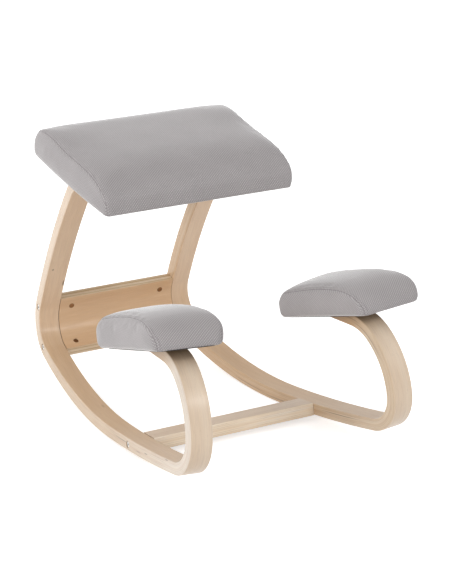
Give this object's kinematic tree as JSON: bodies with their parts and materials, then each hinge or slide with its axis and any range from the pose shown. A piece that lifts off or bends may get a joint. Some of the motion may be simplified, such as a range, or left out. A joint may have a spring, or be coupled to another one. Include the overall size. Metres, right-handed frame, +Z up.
{
  "type": "kneeling chair",
  "caption": "Rocking kneeling chair: two bent-wood side frames with curved runners carry a tilted upholstered seat and a pair of padded knee rests.",
  "frame": {"origin": "on the floor, under the middle of the whole chair's box, with the chair at rest on its runners", "axes": "+X to the chair's right side as seen from the front, +Y from the knee rests to the rear, +Z up"},
  "size_m": [0.5242, 0.724, 0.5256],
  "materials": {
    "lacquered_birch": "satin",
    "birch_plywood": "satin",
    "upholstery_fabric": "matte",
    "polyurethane_foam": "matte",
    "nonwoven_cloth": "matte",
    "zinc_plated_steel": "satin",
    "blackened_steel": "satin"
  },
  "bodies": {
    "root": {"front_crossbar": "birch_plywood", "left_crossbar_barrel_nut": "blackened_steel", "left_crossbar_bolt": "zinc_plated_steel", "left_knee_board": "birch_plywood", "left_knee_fabric_cover": "upholstery_fabric", "left_knee_foam": "polyurethane_foam", "left_knee_front_bolt": "zinc_plated_steel", "left_knee_front_tee_nut": "zinc_plated_steel", "left_knee_rear_bolt": "zinc_plated_steel", "left_knee_rear_tee_nut": "zinc_plated_steel", "left_knee_underside_cloth": "nonwoven_cloth", "left_rear_panel_lower_barrel_nut": "blackened_steel", "left_rear_panel_lower_bolt": "zinc_plated_steel", "left_rear_panel_upper_barrel_nut": "blackened_steel", "left_rear_panel_upper_bolt": "zinc_plated_steel", "left_seat_front_bolt": "zinc_plated_steel", "left_seat_front_tee_nut": "zinc_plated_steel", "left_seat_rear_bolt": "zinc_plated_steel", "left_seat_rear_tee_nut": "zinc_plated_steel", "left_side_frame": "lacquered_birch", "rear_panel": "birch_plywood", "right_crossbar_barrel_nut": "blackened_steel", "right_crossbar_bolt": "zinc_plated_steel", "right_knee_board": "birch_plywood", "right_knee_fabric_cover": "upholstery_fabric", "right_knee_foam": "polyurethane_foam", "right_knee_front_bolt": "zinc_plated_steel", "right_knee_front_tee_nut": "zinc_plated_steel", "right_knee_rear_bolt": "zinc_plated_steel", "right_knee_rear_tee_nut": "zinc_plated_steel", "right_knee_underside_cloth": "nonwoven_cloth", "right_rear_panel_lower_barrel_nut": "blackened_steel", "right_rear_panel_lower_bolt": "zinc_plated_steel", "right_rear_panel_upper_barrel_nut": "blackened_steel", "right_rear_panel_upper_bolt": "zinc_plated_steel", "right_seat_front_bolt": "zinc_plated_steel", "right_seat_front_tee_nut": "zinc_plated_steel", "right_seat_rear_bolt": "zinc_plated_steel", "right_seat_rear_tee_nut": "zinc_plated_steel", "right_side_frame": "lacquered_birch", "seat_board": "birch_plywood", "seat_fabric_cover": "upholstery_fabric", "seat_foam": "polyurethane_foam", "seat_underside_cloth": "nonwoven_cloth"}
  },
  "joints": []
}
